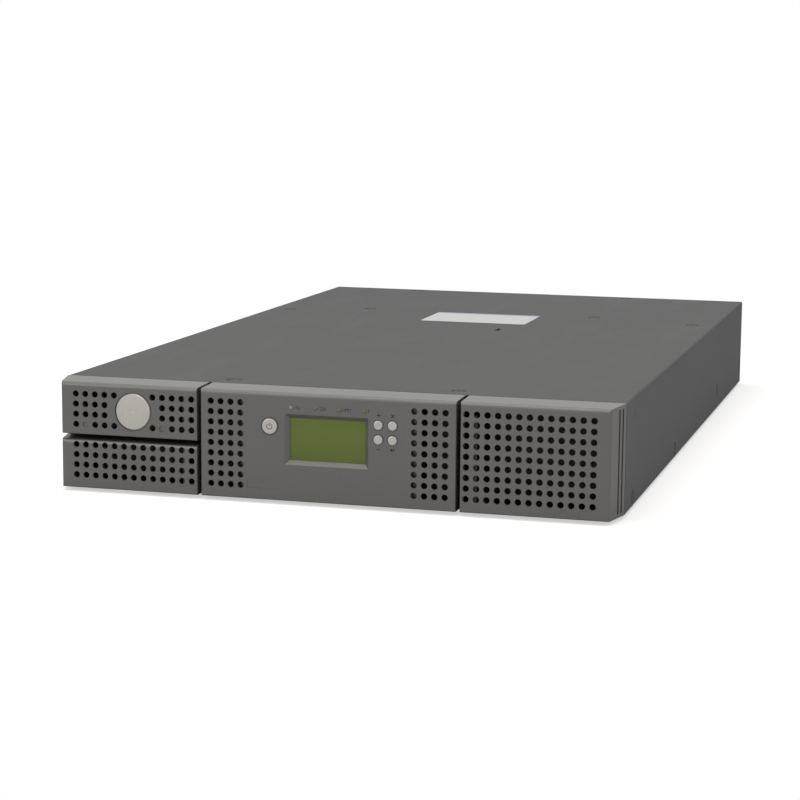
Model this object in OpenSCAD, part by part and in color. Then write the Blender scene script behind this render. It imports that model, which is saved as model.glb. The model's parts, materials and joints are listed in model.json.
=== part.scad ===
// Data tape library for a rack, two rack units high.
// Two pull-out magazines stand either side of an aisle, where a picker carries
// half-inch tape cartridges between their slots and the drive at the rear.
// Frame: X across, Y from the bezels to the rear panel, Z up from the floor.

/* [Case] */
// Width of the chassis
case_w = 447; // [440:0.5:460]
// Depth from the bezel faces to the rear panel
case_d = 742; // [735:1:790]
// Height of the chassis without its feet
case_h = 84.4; // [84.2:0.1:88]
// Thickness of the cover's sheet
cover_t = 1; // [0.8:0.05:1.2]
// Radius of the cover's folded edges
fold_r = 1.6; // [1.3:0.1:2.5]
// Thickness of the base and frame sheet
sheet_t = 1.2; // [1:0.05:1.3]
// Height of the base pan's side flanges
flange_h = 26; // [20:1:40]
// Height of the foot pads
foot_h = 3.2; // [1:0.1:8]
// Diameter of the foot pads
foot_d = 20; // [14:1:30]
// Spacing of the base bolts and of the feet across the case
foot_span = 380; // [340:1:400]
// Spacing of the base bolts along the case
bolt_span = 480; // [400:1:500]
// Diameter of the base bolt holes
bolt_d = 4.2; // [3:0.1:6]

/* [Bezels] */
// Depth of the bezels
bezel_d = 28; // [24:0.5:28]
// Wall of the bezels
bezel_t = 2.5; // [2:0.1:3]
// Width of the centre bezel
centre_w = 202.3; // [200:0.1:206]
// Gap between neighbouring bezels
bezel_gap = 3; // [1:0.1:4]
// How far the side faces lean in over their depth
side_lean = 5.75; // [3:0.05:7]
// Radius of the bezels' front edges
edge_r = 3; // [2.8:0.1:3.5]
// Height of the bezels at the top of their rounded edge
bezel_h = 83.5; // [83:0.1:84]
// Rise of the bezels' top strip towards the cover
top_rise = 0.8; // [0.2:0.1:0.9]
// Height of the lower left bezel
lower_h = 38.4; // [36:0.1:39]
// Gap between the lower and the upper left bezel
split_gap = 4.1; // [2:0.1:5]
// Gap between the bezels and the chassis
seam_gap = 0.3; // [0.3:0.05:1]
// Width of the side seam in front of the cover
seam_w = 1.2; // [0.6:0.1:3]
// Radius of the bezels' upright edges at the gaps
upright_r = 1.2; // [0.6:0.1:2]

/* [Vents] */
// Diameter of the vent holes
vent_d = 5; // [4:0.1:5.5]
// Spacing of the vent holes
vent_pitch = 8; // [7.8:0.02:8.1]
// Height of the lowest row of vent holes
vent_z = 10.4; // [10:0.1:11]
// Distance of the first column from the middle on the side bezels
vent_x = 108.8; // [108.5:0.1:110]
// Distance of the first column from the middle on the centre bezel
vent_cx = 68.8; // [68:0.1:70]

/* [Controls] */
// Width of the display window
window_w = 60; // [50:0.5:64]
// Height of the display window
window_h = 32.7; // [28:0.1:34]
// Depth of the display window behind the bezel face
window_in = 3.7; // [3.2:0.1:4]
// Width of the bevel round the window
window_bevel = 3.2; // [2:0.1:3.4]
// Height of the display window's centre
window_z = 47.8; // [47:0.1:48.5]
// Distance of the power button left of the middle
power_x = 45; // [44:0.1:46]
// Height of the power button's centre
power_z = 57.3; // [57:0.1:58]
// Diameter of the power button
power_d = 12; // [11:0.1:12.5]
// Diameter of the keys
key_d = 7; // [6.5:0.1:7.2]
// Distance of the first key column right of the middle
key_x = 41; // [40.5:0.1:42]
// Height of the lower key row
key_z = 51.5; // [51:0.1:52]
// Spacing of the keys
key_pitch = 11.1; // [10.8:0.1:12]
// Gap round the buttons and keys
key_gap = 0.3; // [0.3:0.05:0.4]
// Travel of the keys and of the power button
key_travel = 1; // [0.5:0.1:1.2]
// How far the keys stand proud
key_proud = 1.4; // [1.2:0.1:2]
// Diameter of the indicator lights
led_d = 3; // [2:0.1:3.5]
// Spacing of the indicator lights
led_pitch = 19.35; // [18:0.05:20]
// Height of the indicator lights
led_z = 72.5; // [72:0.1:73]
// Diameter of the round badge
badge_d = 28; // [26:0.1:28.5]
// Gap round the badge in its recess
badge_gap = 1.2; // [0.5:0.1:1.4]

/* [Magazines] */
// Width of a cartridge
cart_w = 105.4; // [102:0.1:106]
// Length of a cartridge
cart_l = 102; // [100:0.1:103]
// Height of a cartridge
cart_h = 21.5; // [20:0.1:21.7]
// Sideways play of a cartridge in its slot
slot_play = 1.6; // [1:0.1:2]
// Play above a cartridge in its slot
slot_rise = 1; // [0.6:0.1:1.1]
// Thickness of the shelves
shelf_t = 1.3; // [1:0.05:1.35]
// Thickness of the dividers and side walls
wall_t = 2; // [1.5:0.1:2.2]
// Number of slots along a magazine
columns = 4; // [3:1:4]
// Number of slots one above the other
rows = 3; // [2:1:3]
// Distance from the middle to the magazines
aisle_half = 111; // [110.5:0.1:111.5]
// Distance from the bezel face to the first slot
column_y = 48; // [47:0.5:50]
// Pull-out travel of the magazines
magazine_pull = 440; // [300:5:450]
// Pull-out travel of the input and output station
station_pull = 112; // [80:1:115]

/* [Accessor] */
// Width of the carriage plate
carriage_w = 208; // [206:0.5:208.5]
// Module of the rack and pinion
gear_m = 1.25; // [1.2:0.05:1.3]
// Teeth of the travel pinion
pinion_teeth = 12; // [11:1:12]
// Side play between meshing teeth
backlash = 0.24; // [0.2:0.02:0.4]
// Radius of the guide posts
post_r = 3; // [2:0.1:3.2]
// Radius of the motors on the carriage
motor_r = 6; // [5:0.1:6]
// Radius of the turning plate
turn_r = 66; // [60:0.5:67]
// Travel of the gripper
reach = 140; // [120:1:140]
// Running clearance between moving pieces
run_gap = 0.3; // [0.3:0.05:0.4]

/* [Rear modules] */
// Distance from the bezel face to the drive
drive_y = 514; // [514:1:520]
// Width of the tape drive
drive_w = 146; // [140:0.5:150]
// Height of the tape drive
drive_h = 38.5; // [36:0.1:39]
// Length of the tape drive
drive_l = 196; // [180:1:200]
// Width of the power supply
supply_w = 86; // [80:1:88]
// Height of the power supply
supply_h = 73; // [68:0.5:74]
// Width of the controller card
card_w = 98; // [90:1:100]
// How far the rear handles stand out
handle_out = 19; // [14:1:26]

/* [Hidden] */
$fn = 48;

STEEL = "#5b5b5c";
PAINT = "#4a4a4b";
BEZEL = "#7b766e";
PLASTIC = "#2b2b2d";
SILVER = "#c9c7c2";
BOARD = "#2f5a3a";
ZINC = "#b9bcbf";
COPPER = "#b5a25a";

eps = 0.01;
half_w = case_w / 2;
// The keys stand in front of the bezels and the handles behind the rear panel
front_y = -(case_d + handle_out - key_proud) / 2;
// Inner faces of the case
side_in = half_w - cover_t;
roof_z = case_h - cover_t;
floor_z = sheet_t;
// The cover rests on screw dishes this deep
dish_depth = 1.8;
dish_r = 6.5;
dish_floor_r = 4.2;
shank_r = 1.5;
base_half = side_in - dish_depth;
seat_z = roof_z - dish_depth;
frame_y = bezel_d + seam_gap;
panel_y = case_d - sheet_t;
// Bezels
side_face = centre_w / 2 + bezel_gap;
lean_angle = atan(side_lean / (bezel_d - edge_r));
upper_z = lower_h + split_gap;
// Levels of the accessor, from the floor up
carriage_z = floor_z + 0.8;
// Underside of the magazines' ribs
rib_z = floor_z + 1.4;
carriage_t = sheet_t;
platform_z = carriage_z + carriage_t + 0.4;
platform_t = 1.5;
turn_z = platform_z + platform_t + run_gap;
turn_t = 1.5;
cart_z = turn_z + turn_t + run_gap;
// Slots
row_pitch = cart_h + slot_rise + shelf_t;
slot_w = cart_w + slot_play;
column_pitch = slot_w + wall_t;
magazine_end = column_y + columns * column_pitch;
magazine_w = cart_l + wall_t + 2;
magazine_out = aisle_half + magazine_w;
magazine_top = cart_z + rows * row_pitch;
station_row = cart_z + (rows - 1) * row_pitch;
tray_t = 1.2;
// Accessor
home_column = columns - 2;
home_y = column_y + slot_w / 2 + home_column * column_pitch;
first_y = column_y + slot_w / 2;
mouth_y = 80;
tail_y = 75;
last_y = drive_y - mouth_y - 2;
lift_travel = (rows - 1) * row_pitch + tray_t + run_gap;
pinion_r = gear_m * pinion_teeth / 2;
rack_z = floor_z + 2.7;
pinion_y = home_y + 64;
pinion_z = rack_z + pinion_r;
rack_x = carriage_w / 2 + 1.8;
rack_w = 4;
post_x = 94;
post_y = 60;
post_top = seat_z - sheet_t - 0.6;
picker_wall = 1.5;
picker_half = cart_w / 2 + 1;
picker_top = cart_z + cart_h + 2.3;
// Rear modules
bay_half = 84;
supply_x = -(base_half - sheet_t - 4) + supply_w / 2;
card_x = base_half - sheet_t - 4 - card_w / 2;
module_z = floor_z + 0.8;
sled_top = module_z + 0.8 + drive_h + 1.2;

// Places a piece that is drawn from the bezel faces and the base's underside
module placed() { translate([0, front_y, foot_h]) children(); }
// A box between two opposite corners
module slab(from, to) { translate(from) cube(to - from); }
// A round hole or rod along Y
module rod_y(x, y, z, r, l) { translate([x, y, z]) rotate([-90, 0, 0]) cylinder(r = r, h = l); }
// Both sides of a piece that is the same left and right
module both_sides() { children(); mirror([1, 0, 0]) children(); }

// ---- Chassis -------------------------------------------------------------

// Places of the cover's screws on top, as [x, y]
function top_screws() = [
    [-91, frame_y + 18], [91, frame_y + 18], [-202, drive_y + 2], [202, drive_y + 6],
    [-128, drive_y + 34], [101, drive_y + 36], [-128.5, case_d - 9], [101.5, case_d - 9]
];
// Places of the screws along each side, as [y, z]
function side_screws() = [[64, 7], [279.5, 7], [552, 18.2], [725, 18.2]];

// Solid under a screw dish, with its top face at z = 0
module dish_body() {
    translate([0, 0, -dish_depth - cover_t])
        cylinder(r1 = dish_floor_r + cover_t, r2 = dish_r + cover_t, h = dish_depth + cover_t);
}
// What the dish and its screw hole take away
module dish_cut() {
    translate([0, 0, -dish_depth]) cylinder(r1 = dish_floor_r, r2 = dish_r, h = dish_depth);
    translate([0, 0, -dish_depth - 2 * cover_t]) cylinder(r = shank_r + 0.2, h = 3 * cover_t);
}
module at_top_screws() {
    for (p = top_screws()) translate([p.x, p.y, case_h]) children();
}
module at_side_screws() {
    both_sides() for (p = side_screws()) translate([half_w, p.x, p.y]) rotate([0, 90, 0]) children();
}

// Section of the cover: a sheet folded down at both sides
module cover_section() {
    difference() {
        union() {
            translate([-half_w + fold_r, 0]) square([case_w - 2 * fold_r, case_h]);
            translate([-half_w, 0]) square([case_w, case_h - fold_r]);
            for (s = [-1, 1]) translate([s * (half_w - fold_r), case_h - fold_r]) circle(r = fold_r);
        }
        translate([-side_in, -1]) square([2 * side_in, roof_z - fold_r + cover_t + 1]);
        translate([-half_w + fold_r, 0]) square([case_w - 2 * fold_r, roof_z]);
        for (s = [-1, 1])
            translate([s * (half_w - fold_r), case_h - fold_r]) circle(r = fold_r - cover_t);
    }
}

module top_cover() placed() color(PAINT) difference() {
    union() {
        translate([0, case_d, 0]) rotate([90, 0, 0])
            linear_extrude(case_d - frame_y - seam_w) cover_section();
        slab([-half_w + fold_r, frame_y + 0.3, roof_z], [half_w - fold_r, frame_y + seam_w + 1, case_h]);
        at_top_screws() dish_body();
        at_side_screws() dish_body();
    }
    at_top_screws() dish_cut();
    at_side_screws() dish_cut();
    // Slot for the shipping lock, and a narrow slot near the front of each side
    slab([31.5, 417, roof_z - 1], [35.5, 431, case_h + 1]);
    both_sides() slab([side_in - 1, 66.4, 68], [half_w + 1, 67.6, 73]);
}

module base_pan() placed() color(STEEL) difference() {
    union() {
        slab([-base_half, frame_y, 0], [base_half, panel_y, floor_z]);
        both_sides() slab([base_half - sheet_t, frame_y + sheet_t, 0], [base_half, panel_y, flange_h]);
    }
    for (x = [-1, 1], y = [-1, 1])
        translate([x * foot_span / 2, case_d / 2 + y * bolt_span / 2, -1]) cylinder(d = bolt_d, h = 3 * sheet_t);
    both_sides() for (p = side_screws())
        translate([base_half - 2 * sheet_t, p.x, p.y]) rotate([0, 90, 0]) cylinder(r = shank_r, h = 4 * sheet_t);
}

module front_frame() placed() color(STEEL) {
    bay = [side_face + 1, magazine_out + run_gap];
    difference() {
        slab([-base_half, frame_y, floor_z], [base_half, frame_y + sheet_t, roof_z]);
        both_sides()
            slab([bay[0], frame_y - 1, rib_z - run_gap], [bay[1] + 1, frame_y + 2 * sheet_t, magazine_top + 2]);
        // Cable openings behind the centre bezel
        for (x = [-60, 20]) slab([x, frame_y - 1, 20], [x + 40, frame_y + 2 * sheet_t, 60]);
    }
    // Seats for the cover's two front screws, and the flanges beside the seam
    both_sides() difference() {
        slab([mouth_y + 1, frame_y + sheet_t, seat_z - sheet_t], [base_half, frame_y + 26, seat_z]);
        translate([91, frame_y + 18, seat_z - 2 * sheet_t]) cylinder(r = shank_r, h = 4 * sheet_t);
    }
    both_sides() slab([base_half, frame_y, 0.5], [side_in - 0.3, frame_y + sheet_t, roof_z]);
    both_sides() slab([side_in - 0.3 - sheet_t, frame_y + sheet_t, flange_h + 1], [side_in - 0.3, frame_y + seam_w + 3, seat_z - sheet_t]);
}

module rear_cage() placed() color(ZINC) {
    difference() {
        slab([-base_half + 1, drive_y - 6, seat_z - sheet_t], [base_half - 1, drive_y + 46, seat_z]);
        for (p = [for (q = top_screws()) if (q.y > drive_y - 6 && q.y < drive_y + 46) q])
            translate([p.x, p.y, seat_z - 2 * sheet_t]) cylinder(r = shank_r, h = 4 * sheet_t);
    }
    both_sides() {
        // Walls of the drive bay and their feet
        slab([bay_half, drive_y - 6, floor_z], [bay_half + sheet_t, panel_y, seat_z - sheet_t]);
        slab([bay_half + sheet_t, drive_y - 6, floor_z], [bay_half + 10, panel_y, floor_z + sheet_t]);
        // End flanges of the cross member
        slab([base_half - 1 - sheet_t, drive_y - 6, flange_h + 2], [base_half - 1, drive_y + 46, seat_z - sheet_t]);
    }
}

// Openings of the rear panel, as [x0, x1, z0, z1]
function rear_openings() = [
    [-bay_half + 0.2, bay_half - 0.2, floor_z, sled_top],
    [-bay_half + 1, bay_half - 1, sled_top + 3, seat_z - 4],
    [supply_x - supply_w / 2 - 0.4, supply_x + supply_w / 2 + 0.4, floor_z, module_z + supply_h + 0.4],
    [card_x - card_w / 2 - 0.4, card_x + card_w / 2 + 0.4, floor_z, module_z + 34]
];
module rear_panel() placed() color(STEEL) {
    difference() {
        slab([-base_half, panel_y, 0], [base_half, case_d, roof_z]);
        for (o = rear_openings()) slab([o[0], panel_y - 1, o[2]], [o[1], case_d + 1, o[3]]);
        // Air outlet above the controller card
        for (i = [0 : 11], j = [0 : 3])
            rod_y(card_x - 44 + 8 * i, panel_y - 1, module_z + 44 + 8 * j, 2.5, sheet_t + 2);
        // Slot that stores the shipping lock
        slab([base_half - 10, panel_y - 1, 52], [base_half - 6, case_d + 1, 66]);
    }
    difference() {
        slab([-base_half + 1, panel_y - 18, seat_z - sheet_t], [base_half - 1, panel_y, seat_z]);
        for (x = [-128.5, 101.5])
            translate([x, case_d - 9, seat_z - 2 * sheet_t]) cylinder(r = shank_r, h = 4 * sheet_t);
    }
}

// Runners that carry one magazine
module bay_rail_pair() {
    // Channel by the aisle, for the rib under the magazine
    x0 = aisle_half + 1;
    y0 = frame_y + sheet_t + 1;
    y1 = magazine_end - wall_t;
    difference() {
        slab([x0, y0, floor_z], [x0 + 7, y1, cart_z - 2 * shelf_t]);
        slab([x0 + 1.5, y0 - 1, floor_z + 0.8], [x0 + 5.5, y1 + 1, cart_z]);
    }
    // Ledge along the case's side
    slab([magazine_out - 4, y0, floor_z], [base_half - sheet_t, y1, cart_z - shelf_t - run_gap]);
    slab([magazine_out + run_gap, y0, cart_z - shelf_t - run_gap], [base_half - sheet_t, y1, cart_z + 8]);
}
module bay_rails() placed() color(PLASTIC) both_sides() bay_rail_pair();

// Pan head screw with a cross recess, its head on z = 0
module screw(length) {
    difference() {
        union() {
            cylinder(r = 3.4, h = 1.4);
            translate([0, 0, -length]) cylinder(r = shank_r - 0.05, h = length);
        }
        for (a = [0, 90]) rotate(a) translate([-2, -0.4, 0.7]) cube([4, 0.8, 1]);
    }
}
module cover_screws() placed() color(ZINC) {
    at_top_screws() translate([0, 0, -dish_depth]) screw(4);
    at_side_screws() translate([0, 0, -dish_depth]) screw(cover_t + sheet_t);
}

module foot_pads() color(PLASTIC) {
    for (x = [-1, 1], y = [-1, 1])
        translate([x * foot_span / 2, front_y + case_d / 2 + y * (bolt_span / 2 + 40), 0]) difference() {
            cylinder(d = foot_d, h = foot_h);
            translate([0, 0, -1]) cylinder(d = foot_d / 2, h = 2);
        }
}

// Plastic lock that holds the picker for transport, stored behind the rear panel's slot
module shipping_lock() placed() color("#c9a227") {
    slab([base_half - 14, case_d, 49], [base_half - 2, case_d + 1.6, 69]);
    slab([base_half - 9.7, panel_y - 12, 52.3], [base_half - 6.3, case_d, 65.7]);
}

// ---- Bezels --------------------------------------------------------------

// Side view of a bezel from z0 up to the top of its rounded edge at z1
module bezel_side_view(z0, z1, rise) {
    lift = atan(rise / (bezel_d - edge_r));
    polygon([
        [edge_r, z0], [edge_r * (1 - sin(lift)), z1 - edge_r + edge_r * cos(lift)],
        [bezel_d, z1 + rise], [bezel_d, z0]
    ]);
    translate([0, z0 + 1]) square([2 * edge_r, z1 - edge_r - z0 - 1]);
    translate([1, z0]) square([2 * edge_r, 2]);
    translate([1, z0 + 1]) circle(r = 1);
    translate([edge_r, z1 - edge_r]) circle(r = edge_r);
}
// Plan of a side bezel between its inner edge and the leaning outer side
module side_bezel_plan() {
    corner_x = half_w - (edge_r + (bezel_d - edge_r) * sin(lean_angle)) / cos(lean_angle);
    polygon([
        [side_face, upright_r], [side_face + upright_r, 0], [corner_x, 0],
        [corner_x + edge_r * cos(lean_angle), edge_r * (1 - sin(lean_angle))],
        [half_w, bezel_d], [side_face, bezel_d]
    ]);
    translate([corner_x, edge_r]) circle(r = edge_r);
    translate([side_face + upright_r, upright_r]) circle(r = upright_r);
}
// Plan of the centre bezel
module centre_plan() {
    w = centre_w / 2;
    translate([-w + upright_r, 0]) square([2 * (w - upright_r), bezel_d]);
    translate([-w, upright_r]) square([2 * w, bezel_d - upright_r]);
    for (s = [-1, 1]) translate([s * (w - upright_r), upright_r]) circle(r = upright_r);
}
// Plan of the room inside a side bezel
module side_bezel_room() {
    outer = half_w - bezel_t / cos(lean_angle);
    polygon([
        [side_face + bezel_t, bezel_t], [outer - (bezel_d - bezel_t) * tan(lean_angle), bezel_t],
        [outer, bezel_d], [outer, bezel_d + 1], [side_face + bezel_t, bezel_d + 1]
    ]);
}
// Room inside a bezel, seen from the side
module bezel_room_view(z0, z1) {
    translate([bezel_t, z0 + 2]) square([bezel_d, z1 - z0 - 4.2]);
}
// Extrudes a side view across the case
module across(x0, x1) { translate([x0, 0, 0]) rotate([90, 0, 90]) linear_extrude(x1 - x0) children(); }

// A right-hand bezel shell without its vents
module side_bezel_shell(z0, z1, rise) {
    difference() {
        intersection() {
            across(side_face, half_w) bezel_side_view(z0, z1, rise);
            linear_extrude(case_h) side_bezel_plan();
        }
        intersection() {
            across(side_face + bezel_t, half_w) bezel_room_view(z0, z1);
            linear_extrude(case_h) side_bezel_room();
        }
        // Two grooves down the outer side
        for (y = [15, 21.2])
            translate([half_w - (bezel_d - y) * tan(lean_angle) - 1.1, y, z0 + 3]) rotate(-lean_angle)
                cube([3, 2.5, z1 - z0 - 5.5]);
    }
}
function vent_hole_x(i) = vent_x + i * vent_pitch;
function vent_row_z(j) = vent_z + j * vent_pitch;
module vent(x, z) { rod_y(x, -1, z, vent_d / 2, bezel_t + 2); }

module left_magazine_bezel() placed() color(BEZEL) mirror([1, 0, 0]) difference() {
    side_bezel_shell(0, lower_h, 0);
    for (i = [0 : 12], j = [0 : 3]) vent(vent_hole_x(i), vent_row_z(j));
}
module right_magazine_bezel() placed() color(BEZEL) difference() {
    side_bezel_shell(0, bezel_h, top_rise);
    for (i = [0 : 12], j = [0 : 8]) vent(vent_hole_x(i), vent_row_z(j));
}

badge_x = vent_hole_x(6);
badge_z = vent_row_z(6.5);
module station_bezel() placed() color(BEZEL) mirror([1, 0, 0]) difference() {
    side_bezel_shell(upper_z, bezel_h, top_rise);
    // Vents pass round the badge, and two of them are blind
    for (i = [0 : 12], j = [5 : 8])
        if (abs(i - 6) > (j == 5 || j == 8 ? 1 : 2) && !(j == 5 && (i == 3 || i == 11)))
            vent(vent_hole_x(i), vent_row_z(j));
    for (i = [3, 11]) rod_y(vent_hole_x(i), -1, vent_row_z(5), vent_d / 2, 1.8);
    rod_y(badge_x, -1, badge_z, badge_d / 2 + badge_gap, 2);
}
// Domed blank badge in its recess
module badge_disc() placed() color(SILVER) translate([-badge_x, 1, badge_z]) rotate([90, 0, 0])
    rotate_extrude() polygon([
        [0, 0], [badge_d / 2, 0], [badge_d / 2, 1.3], [badge_d / 2 - 0.5, 1.8],
        [badge_d / 2 - 1.5, 1.9], [badge_d / 4, 2.2], [0, 2.3]
    ]);

// Window opening: a bevelled frustum in front of a straight hole
module window_cut() {
    w = window_w / 2;
    h = window_h / 2;
    b = window_bevel;
    intersection() {
        translate([0, 0, window_z - h - 2 * b]) linear_extrude(2 * h + 4 * b)
            polygon([[-w - b, 0], [w + b, 0], [w, window_in - 0.5], [-w, window_in - 0.5]]);
        across(-w - 2 * b, w + 2 * b)
            polygon([[0, window_z - h - b], [0, window_z + h + b],
                [window_in - 0.5, window_z + h], [window_in - 0.5, window_z - h]]);
    }
    slab([-w, -1, window_z - h], [w, window_in + 1, window_z + h]);
}
function key_places() = [for (j = [1, 0], i = [0, 1]) [key_x + i * key_pitch, key_z + j * key_pitch]];
function led_places() = [for (i = [0 : 3]) [(i - 1.5) * led_pitch + 1, led_z]];

module centre_bezel() placed() color(BEZEL) difference() {
    union() {
        difference() {
            intersection() {
                across(-centre_w / 2, centre_w / 2) bezel_side_view(0, bezel_h, top_rise);
                linear_extrude(case_h) centre_plan();
            }
            across(-centre_w / 2 + bezel_t, centre_w / 2 - bezel_t) bezel_room_view(0, bezel_h);
        }
        // Frame that holds the window behind the face
        slab([-window_w / 2 - 5, bezel_t - 0.5, window_z - window_h / 2 - 5],
            [window_w / 2 + 5, window_in, window_z + window_h / 2 + 5]);
    }
    window_cut();
    both_sides() for (i = [0 : 3], j = [0 : 8]) vent(vent_cx + i * vent_pitch, vent_row_z(j));
    // Power button's hole and ring
    rod_y(-power_x, -1, power_z, power_d / 2 + key_gap, bezel_t + 4);
    rod_y(-power_x, -1, power_z, power_d / 2 + 1.1, 1.8);
    for (p = key_places()) {
        rod_y(p.x, -1, p.y, key_d / 2 + key_gap, bezel_t + 4);
        rod_y(p.x, -1, p.y, key_d / 2 + 0.6, 1.5);
    }
    for (p = led_places()) rod_y(p.x, -1, p.y, led_d / 2, bezel_t + 4);
    // Shallow blank panel low on the left
    slab([-63.3, -1, 8.7], [-35.6, 0.3, 15]);
}

module display_window() placed() color("#7f8f1e")
    slab([-window_w / 2 - 4, window_in, window_z - window_h / 2 - 4],
        [window_w / 2 + 4, window_in + 1.5, window_z + window_h / 2 + 4]);
module display_panel() placed() color("#3c4a2a") {
    slab([-window_w / 2 - 5, window_in + 1.5, window_z - window_h / 2 - 6],
        [window_w / 2 + 3, window_in + 8, window_z + window_h / 2 + 6]);
}
// Plate behind the centre bezel that holds the display, on four pillars
carrier_y = window_in + 1.9;
module display_carrier() placed() color("#6b675f") {
    difference() {
        slab([-70.3, carrier_y, 6], [71.5, carrier_y + 1.2, 78]);
        slab([-window_w / 2 - 6, carrier_y - 1, window_z - window_h / 2 - 7],
            [window_w / 2 + 6, carrier_y + 3, window_z + window_h / 2 + 7]);
        for (p = concat(key_places(), [[-power_x, power_z]])) rod_y(p.x, carrier_y - 1, p.y, 2, 4);
        for (p = led_places()) rod_y(p.x, carrier_y - 1, p.y, 1.6, 4);
    }
    for (x = [-60, 60], z = [12, 74]) rod_y(x, bezel_t, z, 2.5, carrier_y - bezel_t);
}
board_y = window_in + 8;
// Board behind the controls, with a switch under each key
module control_board() placed() color(BOARD) {
    difference() {
        slab([-60, board_y, 20], [62, board_y + 1.6, 78]);
        for (x = [-56, 58], z = [24, 74]) rod_y(x, board_y - 1, z, 1.6, 4);
    }
    for (p = concat(key_places(), [[-power_x, power_z]])) switch_at(p);
    for (p = led_places()) rod_y(p.x, board_y - 1.5, p.y, 1.5, 1.5);
    // Ribbon connector, and two standoffs down to the chassis
    slab([-20, board_y + 1.6, 24], [20, board_y + 8, 30]);
    for (x = [-56, 58], z = [24, 74]) difference() {
        rod_y(x, board_y + 1.6, z, 3.2, frame_y - board_y - 1.6);
        rod_y(x, board_y, z, 1.6, frame_y);
    }
}
module switch_at(p) {
    slab([p.x - 3, board_y - 2.5, p.y - 3], [p.x + 3, board_y, p.y + 3]);
    rod_y(p.x, board_y - 3.4, p.y, 1.6, 1);
}
module indicator_lights() placed() color("#d8a21e") for (p = led_places()) {
    rod_y(p.x, -0.4, p.y, led_d / 2 - 0.08, bezel_t + 0.4);
    rod_y(p.x, bezel_t, p.y, led_d / 2 + 1, 1.2);
    rod_y(p.x, bezel_t + 1.2, p.y, 1, board_y - 1.5 - bezel_t - 1.2);
}

// A key: a domed cap, a collar behind the bezel and a stem down to its switch
module key_cap(p, d) {
    translate([p.x, 0, p.y]) rotate([90, 0, 0]) {
        rotate_extrude() polygon([
            [0, -bezel_t - 1.6], [d / 2, -bezel_t - 1.6], [d / 2, key_proud - 0.6],
            [d / 2 - 0.2, key_proud - 0.2], [d / 2 - 0.7, key_proud], [0, key_proud]
        ]);
        translate([0, 0, -bezel_t - 1.6]) cylinder(r = d / 2 + 0.9, h = 1.3);
        translate([0, 0, -board_y + 3.4 + key_travel + 0.1])
            cylinder(r = 1.2, h = board_y - 3.4 - key_travel - bezel_t - 1.6);
    }
}
module power_button() placed() color(SILVER) key_cap([-power_x, power_z], power_d);
module key_plus() placed() color(SILVER) key_cap(key_places()[0], key_d);
module key_cancel() placed() color(SILVER) key_cap(key_places()[1], key_d);
module key_minus() placed() color(SILVER) key_cap(key_places()[2], key_d);
module key_enter() placed() color(SILVER) key_cap(key_places()[3], key_d);

// ---- Magazines, drawn for the right-hand bay ------------------------------

function divider_y(i) = column_y - wall_t + i * column_pitch;
function shelf_z(k) = cart_z - shelf_t + k * row_pitch;

// station: the first column's top slot belongs to the input and output station
module magazine_shelves(station) {
    x1 = magazine_out - wall_t;
    for (k = [0 : rows]) {
        y0 = station && k == rows ? divider_y(1) : divider_y(0);
        slab([aisle_half, y0, shelf_z(k)], [x1, magazine_end, shelf_z(k) + shelf_t]);
    }
    // Rib that runs in the channel by the aisle
    slab([aisle_half + 3.1, divider_y(0), rib_z], [aisle_half + 5.9, magazine_end, shelf_z(0)]);
}
module magazine_dividers(station) {
    for (k = [0 : rows - 1], i = [0 : columns])
        if (!(station && k == rows - 1 && i == 0))
            slab([aisle_half, divider_y(i), shelf_z(k) + shelf_t],
                [magazine_out - wall_t, divider_y(i) + wall_t, shelf_z(k + 1)]);
}
// Outer side with a rounded window behind each slot
module magazine_side() {
    difference() {
        slab([magazine_out - wall_t, divider_y(0), shelf_z(0)], [magazine_out, magazine_end, magazine_top]);
        for (k = [0 : rows - 1], i = [0 : columns - 1])
            translate([magazine_out - wall_t - 1, first_y + i * column_pitch, shelf_z(k) + shelf_t + 4]) {
                slab([0, -24, 0], [wall_t + 2, 24, 13]);
                for (s = [-1, 1]) translate([0, s * 24, 6.5]) rotate([0, 90, 0]) cylinder(r = 6.5, h = wall_t + 2);
            }
    }
}
// Flat springs that hold each cartridge against its far divider
module magazine_springs(station) {
    for (k = [0 : rows - 1], i = [0 : columns - 1])
        if (!(station && k == rows - 1 && i == 0))
            slab([aisle_half + 30, divider_y(i) + wall_t, shelf_z(k) + shelf_t + 8],
                [aisle_half + 66, divider_y(i) + wall_t + 0.6, shelf_z(k) + shelf_t + 14]);
}
// Front wall and the two arms that carry the bezel
module magazine_bracket(z_top) {
    y1 = divider_y(0);
    z0 = shelf_z(0);
    for (x = [side_face + bezel_t + 8, magazine_out - wall_t - 2])
        slab([x, bezel_t, z0], [x + 2, y1 - 1.5, z_top]);
    slab([side_face + bezel_t + 8, y1 - 1.5, z0], [magazine_out - wall_t, y1, z_top]);
}

module left_magazine_bracket() placed() color(ZINC) mirror([1, 0, 0]) magazine_bracket(lower_h - 3);
module left_magazine_side() placed() color(PLASTIC) mirror([1, 0, 0]) magazine_side();
module left_magazine_shelves() placed() color(PLASTIC) mirror([1, 0, 0]) magazine_shelves(true);
module left_magazine_dividers() placed() color(PLASTIC) mirror([1, 0, 0]) magazine_dividers(true);
module left_magazine_springs() placed() color(ZINC) mirror([1, 0, 0]) magazine_springs(true);
module right_magazine_bracket() placed() color(ZINC) magazine_bracket(bezel_h - 10);
module right_magazine_side() placed() color(PLASTIC) magazine_side();
module right_magazine_shelves() placed() color(PLASTIC) magazine_shelves(false);
module right_magazine_dividers() placed() color(PLASTIC) magazine_dividers(false);
module right_magazine_springs() placed() color(ZINC) magazine_springs(false);

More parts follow.
